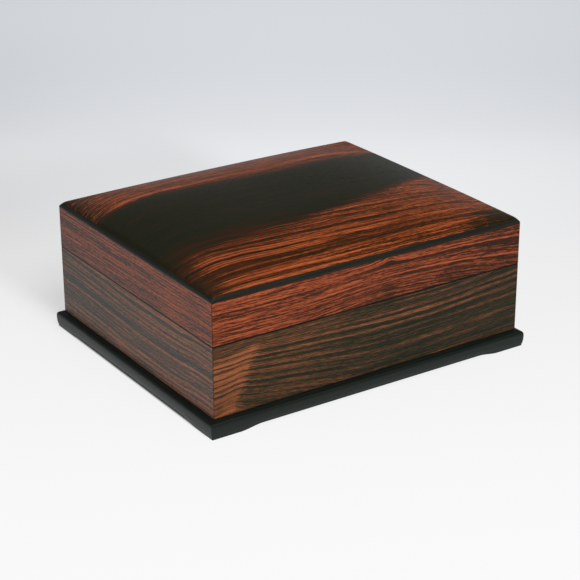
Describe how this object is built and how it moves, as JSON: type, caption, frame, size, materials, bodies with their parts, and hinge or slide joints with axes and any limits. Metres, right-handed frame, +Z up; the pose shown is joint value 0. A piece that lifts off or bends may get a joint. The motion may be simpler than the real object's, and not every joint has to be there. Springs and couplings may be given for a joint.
{
  "type": "wooden coffer",
  "caption": "Low rectangular wooden box with a domed lift-off lid edged in black, mitred corners, an inner lip, and a black moulded plinth with low corner feet.",
  "frame": {"origin": "middle of the footprint, on the surface that the feet stand on", "axes": "+X along the long front towards its right end, -Y out of the front, +Z up"},
  "size_m": [0.2906, 0.2436, 0.1226],
  "materials": {
    "case_wood": "striped rosewood, brown with dark bands, satin oil or wiped lacquer",
    "lid_wood": "striped rosewood, red-orange with fine dark lines, satin",
    "top_wood": "striped rosewood with a black heart along the middle, satin",
    "ebony": "black ebony, satin to matt",
    "inner_wood": "plain brown wood, planed and waxed"
  },
  "bodies": {
    "case": {"plinth_front": "ebony", "plinth_right": "ebony", "plinth_back": "ebony", "plinth_left": "ebony", "case_front": "case_wood", "case_right": "case_wood", "case_back": "case_wood", "case_left": "case_wood", "lining_front": "inner_wood", "lining_right": "inner_wood", "lining_back": "inner_wood", "lining_left": "inner_wood", "case_tongue_front": "inner_wood", "case_tongue_right": "inner_wood", "case_tongue_back": "inner_wood", "case_tongue_left": "inner_wood", "floor": "inner_wood"},
    "lid": {"lid_front": "lid_wood", "lid_right": "lid_wood", "lid_back": "lid_wood", "lid_left": "lid_wood", "lid_tongue_front": "inner_wood", "lid_tongue_right": "inner_wood", "lid_tongue_back": "inner_wood", "lid_tongue_left": "inner_wood", "band_front": "ebony", "band_right": "ebony", "band_back": "ebony", "band_left": "ebony", "lid_top": "top_wood"}
  },
  "joints": [
    {"name": "lid_lift", "type": "slide", "parent": "case", "child": "lid", "axis": [0, 0, 1], "range_m": [0, 0.06]}
  ]
}
